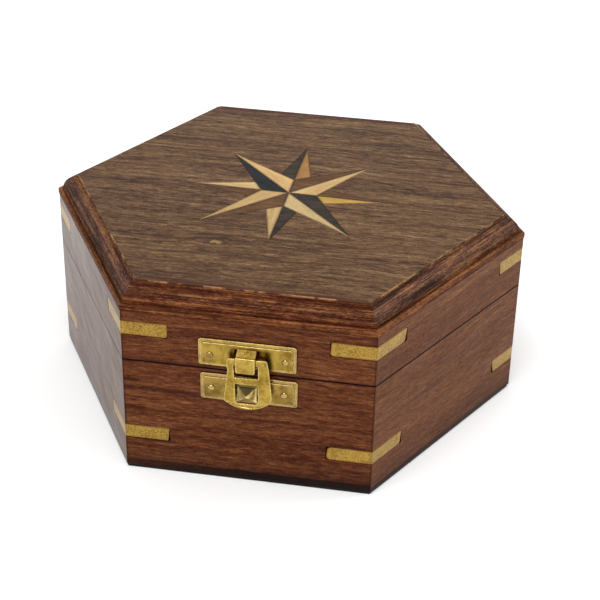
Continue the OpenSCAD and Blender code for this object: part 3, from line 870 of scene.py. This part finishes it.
def make_hasp(material):
    """The hasp hangs a little off centre and askew."""
    hasp_swing = frame["record"]["behaviour"]["joints"][1]
    _, y, z = hasp_swing["pos_m"]
    pivot_z = z / MM
    pivot_out = -y / MM - WALL_OUT
    off_centre = 0.5
    askew = math.radians(1.5)
    hang = Matrix.Translation((off_centre, pivot_z, 0)) @ Matrix.Rotation(askew, 4, "Z")
    lip = arc_points(HASP_ROUND, 10.55, 232, 309, 24)
    meshes = [
        sheet_mesh("hasp_sheet", hasp_outlines(), pivot_out + 0.35, pivot_out + 0.95, 0.2, hang),
        bar_mesh(off_centre - 5.0, off_centre + 5.0, pivot_out, pivot_z, 0.9),
        bead_mesh("hasp_lip", lip, pivot_out + 0.9, 0.4, hang),
    ]
    put_in("hasp", joined("hasp", meshes), "hasp", "hasp_brass", material, "catch_hasp")


# a nail's head: (radius, out) from its foot on the plate to the middle of its dome
NAIL_HEAD = (
    (1.1, 0.94), (1.1, 1.04), (1.0, 1.22), (0.76, 1.4), (0.46, 1.5), (0.22, 1.52), (0.06, 1.46),
)


def nail_head(bm, x, z, tilt):
    """A domed head, a little oval and leaning towards `tilt` radians."""
    rings = []
    for radius, out in NAIL_HEAD:
        ring = []
        for step in range(20):
            angle = step * math.pi / 10
            wobble = 1 + 0.04 * math.sin(2 * angle + tilt)
            lift = 0.05 * radius * math.cos(angle - tilt)
            ring.append(bm.verts.new(front(
                x + radius * wobble * math.cos(angle),
                out + (lift if out > 1 else 0),
                z + radius * wobble * math.sin(angle),
            )))
        rings.append(ring)
    skin(bm, rings)


def make_nails(material):
    """Domed nails, each hammered a little differently."""
    rng = random.Random(4)
    for level in ("lid", "base"):
        node = f"catch_{level}_nails"
        low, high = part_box(node)
        z = (low.z + high.z) / 2 / MM
        bm = bmesh.new()
        for x in (low.x / MM + 1.1, high.x / MM - 1.1):
            nail_head(bm, x, z, rng.uniform(0, 2 * math.pi))
        put_in(f"{level}_nails", finish_mesh(bm, node, 50), level, "fixing_brass", material, node)


# ---------- brass corner strips ----------

# for each corner and level: the two ends, [clockwise leg, counter-clockwise leg], each as
# (how far the lower corner stands back from the upper one, upper radius, lower radius)
STRIP_ENDS = {
    ("lid", "front_right"): ((-0.3, 0.5, 0.9), (1.1, 0.4, 1.3)),
    ("base", "front_right"): ((-0.5, 1.4, 1.2), (0.7, 0.3, 1.0)),
    ("lid", "front_left"): ((0.4, 0.2, 0.5), (0.0, 0.2, 0.8)),
    ("base", "front_left"): ((0.3, 0.5, 0.5), (0.5, 0.2, 0.3)),
    ("lid", "right"): ((0.5, 0.2, 0.4), (0.2, 0.5, 0.3)),
    ("base", "right"): ((1.0, 0.3, 0.6), (0.1, 0.4, 0.6)),
}
CORNERS = ["front_right", "right", "back_right", "back_left", "left", "front_left"]


def strip_ends(level, number):
    """How a strip's two ends are cut."""
    rng = random.Random(f"{level}{number}")
    uneven = tuple(
        (rng.uniform(-0.4, 0.5), rng.uniform(0.2, 0.7), rng.uniform(0.2, 0.8))
        for _ in range(2)
    )
    return STRIP_ENDS.get((level, CORNERS[number]), uneven)


def heading(angle):
    """The horizontal direction at an angle in radians."""
    return Vector((math.cos(angle), math.sin(angle)))


def strip_leg(bm, arris, run, inward, outline):
    """One leg of a strip, open at the corner: its outline is (along the wall, up)."""
    thickness = 1.2
    shells = []
    for depth in (0, thickness):
        shell = []
        for s, z in outline:
            start = depth * math.tan(math.pi / 6) if s == 0 else s
            spot = arris + run * start + inward * depth
            shell.append(bm.verts.new(Vector((spot.x, spot.y, z)) * MM))
        shells.append(shell)
    outer, inner = shells
    bm.faces.new(outer)
    bm.faces.new(inner)
    for i in range(len(outer) - 1):
        bm.faces.new((outer[i], outer[i + 1], inner[i + 1], inner[i]))


def strip_mesh(level, number):
    """A strip bent round its corner, with the cut and rounding of its own two ends."""
    node = f"{level}_strip_{CORNERS[number]}"
    low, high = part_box(node)
    low_z, high_z = low.z / MM, high.z / MM
    turn = math.radians(60 * number - 60)
    arris = heading(turn) * (WALL_OUT / math.cos(math.pi / 6))
    corners = [v.co.xy / MM for v in NODES[node].data.vertices]
    bm = bmesh.new()
    for way, (slant, upper, lower) in zip((-1, 1), strip_ends(level, number)):
        run = heading(turn + way * math.radians(120))
        inward = -heading(turn + way * math.pi / 6)
        leg = max((c - arris).dot(run) for c in corners)
        outline = rounded(
            [(0, low_z), (leg - max(slant, 0), low_z), (leg - max(-slant, 0), high_z), (0, high_z)],
            [0, lower, upper, 0], 4,
        )
        strip_leg(bm, arris, run, inward, outline)
    bmesh.ops.remove_doubles(bm, verts=bm.verts, dist=0.01 * MM)
    return finish_mesh(bm, node, 40)


def make_strips(material):
    for level in ("base", "lid"):
        for number, corner in enumerate(CORNERS):
            node = f"{level}_strip_{corner}"
            piece = put_in(f"{level}_brass_{corner}", strip_mesh(level, number), level,
                           "strip_brass", material, node)
            soften(piece, 0.06, 1)


# ---------- the rest ----------

def dress_hinges():
    leaf = brass("brass_hinge", 14.0, linear(146, 116, 54), linear(190, 158, 84), 0.36)
    screw = brass("brass_screw", 17.0, linear(150, 122, 60), linear(200, 168, 92), 0.32)
    for side in ("left", "right"):
        for part in ("base_leaf", "lid_leaf", "pin"):
            node = f"hinge_{side}_{part}"
            dress(node, leaf)
            soften(NODES[node], 0.12)
    for node in ("hinge_base_screws", "hinge_lid_screws"):
        dress(node, screw)
        soften(NODES[node], 0.06)


def dress_underside():
    board = wood("board_wood", 0, 77.0, tinted(WALL_STOPS, (1.1, 1.15, 1.2)), 0.2, EVEN)
    dress("bottom_board", board)
    dress("base_felt", black_felt())


def black_felt():
    g = Graph("felt_black")
    fuzz = g.noise(g.place(), (2600, 2600, 2600), detail=4, roughness=0.7)
    patch = g.noise(g.place(), (120, 120, 400), detail=2)
    tone = g.math("MULTIPLY_ADD", fuzz, 0.7, g.math("MULTIPLY", patch, 0.3))
    colour = g.ramp(tone, [(0.35, linear(6, 5, 5)), (0.65, linear(27, 23, 23))])
    return g.surface(colour, 0.95, g.bump(fuzz, 0.2 * MM), Sheen_Weight=0.25,
                     Specular_IOR_Level=0.1)


def make_brass():
    lid_brass = brass("brass_lid_plate", 5.0, linear(122, 96, 34), linear(167, 139, 63), 0.30,
                      shaded=0.7, shade_tone=linear(104, 70, 20))
    base_brass = brass("brass_base_plate", 6.0, linear(108, 86, 36), linear(156, 127, 64), 0.32,
                       shaded=0.95)
    strap = brass("brass_strap", 8.0, linear(140, 112, 46), linear(182, 152, 74), 0.28, tarnish=0.5)
    # the boss's brighter tone and the painted shade on its upward and leftward faces paint its light
    # and shade
    boss = brass("brass_boss", 4.0, linear(172, 142, 76), linear(218, 190, 118), 0.30, tarnish=0.8,
                 shaded=0.1, facet_shade=0.85)
    hasp = brass("brass_hasp", 9.0, linear(128, 102, 36), linear(176, 147, 66), 0.27)
    nails = brass("brass_nails", 11.0, linear(110, 86, 38), linear(176, 148, 82), 0.28, tarnish=1.0)
    strip = brass("brass_strip", 2.0, linear(116, 84, 20), linear(180, 145, 58), 0.5, grain=2400,
                  scratch=0.2, tarnish=0.2, lacquer=0.5, clouds=0.2, shaded=0.2,
                  rim=linear(128, 92, 28))
    make_lid_plate(lid_brass, strap)
    make_base_plate(base_brass, boss)
    make_hasp(hasp)
    make_nails(nails)
    make_strips(strip)


# ---------- stage, light and camera ----------

AIM = Vector((0, 0, 0.03))      # the point that the lamps and the camera are set up on


def make_floor():
    """A white floor, glowing more towards its far edge, where the lights don't reach."""
    mesh = bpy.data.meshes.new("floor")
    half = 3.0
    corners = [(x, y, 0) for x, y in block(-half, half, -half, half)]
    mesh.from_pydata(corners, [], [(0, 1, 2, 3)])
    floor = bpy.data.objects.new("floor", mesh)
    bpy.context.scene.collection.objects.link(floor)
    g = Graph("floor_white")
    tone = g.noise(g.place(), (3, 3, 3), detail=2)
    colour = g.ramp(tone, [(0.0, (0.86, 0.86, 0.86)), (1.0, (0.89, 0.89, 0.89))])
    away = g.add("ShaderNodeVectorMath", operation="LENGTH")
    g.put(away.inputs[0], g.place())
    glow = g.spread(away.outputs["Value"], 0.5, 1.5, 0.09, 0.4)
    mesh.materials.append(g.surface(
        colour, 0.9, Specular_IOR_Level=0.1, Emission_Color=(1, 1, 1, 1), Emission_Strength=glow))


def area_light(name, at, size, power):
    """A rectangular lamp at a place, aimed at the box."""
    data = bpy.data.lights.new(name, "AREA")
    data.shape = "RECTANGLE"
    data.size, data.size_y = size
    data.energy = power
    light = bpy.data.objects.new(name, data)
    light.location = at
    light.rotation_euler = (AIM - Vector(at)).to_track_quat("-Z", "Y").to_euler()
    bpy.context.scene.collection.objects.link(light)


def make_light():
    """Soft white light from all round, and two lamps."""
    world = bpy.data.worlds.new("studio")
    world.use_nodes = True
    background = world.node_tree.nodes["Background"]
    background.inputs["Color"].default_value = (1, 1, 1, 1)
    background.inputs["Strength"].default_value = 0.74
    bpy.context.scene.world = world
    area_light("overhead", (-0.15, -0.45, 1.15), (0.8, 0.6), 9)
    area_light("right_back", (1.0, 0.45, 0.85), (0.6, 0.6), 6)


def make_camera():
    """The camera before the box, a little to its right and above."""
    azimuth = math.radians(8.97)
    elevation = math.radians(32.06)
    roll = math.radians(1.16)
    distance = 0.56312
    right_shift = 0.00492
    up_shift = -0.00312
    back = Vector((
        math.sin(azimuth) * math.cos(elevation),
        -math.cos(azimuth) * math.cos(elevation),
        math.sin(elevation),
    ))
    right = Vector((0, 0, 1)).cross(back).normalized()
    up = back.cross(right)
    right, up = (
        right * math.cos(roll) + up * math.sin(roll),
        up * math.cos(roll) - right * math.sin(roll),
    )
    data = bpy.data.cameras.new("camera")
    data.lens = 96.65
    data.sensor_width = 36
    camera = bpy.data.objects.new("camera", data)
    turned = Matrix((right, up, back)).transposed().to_4x4()
    place = back * distance + right * right_shift + up * up_shift + AIM
    camera.matrix_world = Matrix.Translation(place) @ turned
    bpy.context.scene.collection.objects.link(camera)
    bpy.context.scene.camera = camera


bpy.context.scene.view_settings.view_transform = "Standard"
make_camera()
make_floor()
make_light()
dress_walls()
dress_top()
dress_star()
make_brass()
dress_hinges()
dress_underside()
